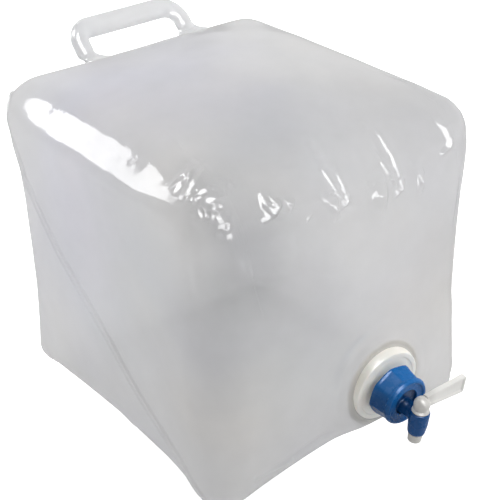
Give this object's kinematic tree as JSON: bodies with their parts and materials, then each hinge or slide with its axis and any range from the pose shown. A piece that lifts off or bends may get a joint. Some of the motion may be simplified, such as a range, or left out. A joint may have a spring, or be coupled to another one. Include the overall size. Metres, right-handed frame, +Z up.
{
  "type": "collapsible water container",
  "caption": "Soft translucent cube that holds water, with a moulded carrying handle on its rear top edge and a screw-on dispensing tap low on its front.",
  "frame": {"origin": "middle of the flat base, on the surface that the container stands on", "axes": "+Z up; the tap points along -Y, dipping 7 degrees; the handle is on the rear (+Y) top edge; the lever points to +X when the tap is shut"},
  "size_m": [0.286, 0.3796, 0.2976],
  "materials": {
    "film_lower": "milky translucent film, soft gloss",
    "film_upper": "milky translucent film, soft gloss",
    "handle": "milky translucent, soft gloss",
    "neck": "creamy white, slightly translucent",
    "washer": "matt grey",
    "nut": "satin deep blue",
    "tap": "satin deep blue",
    "plug": "satin off-white"
  },
  "bodies": {
    "lower_bag": {"bladder_lower": "film_lower", "neck_fitment": "neck"},
    "upper_bag": {"bladder_upper": "film_upper", "carry_handle": "handle"},
    "tap": {"tap_body": "tap", "tap_washer": "washer"},
    "nut": {"cap_nut": "nut"},
    "plug": {"valve_plug": "plug"}
  },
  "joints": [
    {"name": "collapse", "type": "slide", "parent": "lower_bag", "child": "upper_bag", "axis": [0, 0, -1], "range_m": [0, 0.09]},
    {"name": "tap_withdraw", "type": "slide", "parent": "lower_bag", "child": "tap", "axis": [0, -0.9925, -0.1219], "range_m": [0, 0.0241]},
    {"name": "nut_turn", "type": "hinge", "parent": "tap", "child": "nut", "pos_m": [0.0165, -0.1595, 0.0827], "axis": [0, -0.9925, -0.1219], "range_deg": [0, 2160]},
    {"name": "lever_turn", "type": "hinge", "parent": "tap", "child": "plug", "pos_m": [0.0165, -0.20119, 0.07758], "axis": [-0.0698, 0.1216, -0.9901], "range_deg": [0, 90]}
  ],
  "couplings": [
    {"joint": "tap_withdraw", "follows": "nut_turn", "m_per_rad": 0.00063662}
  ]
}
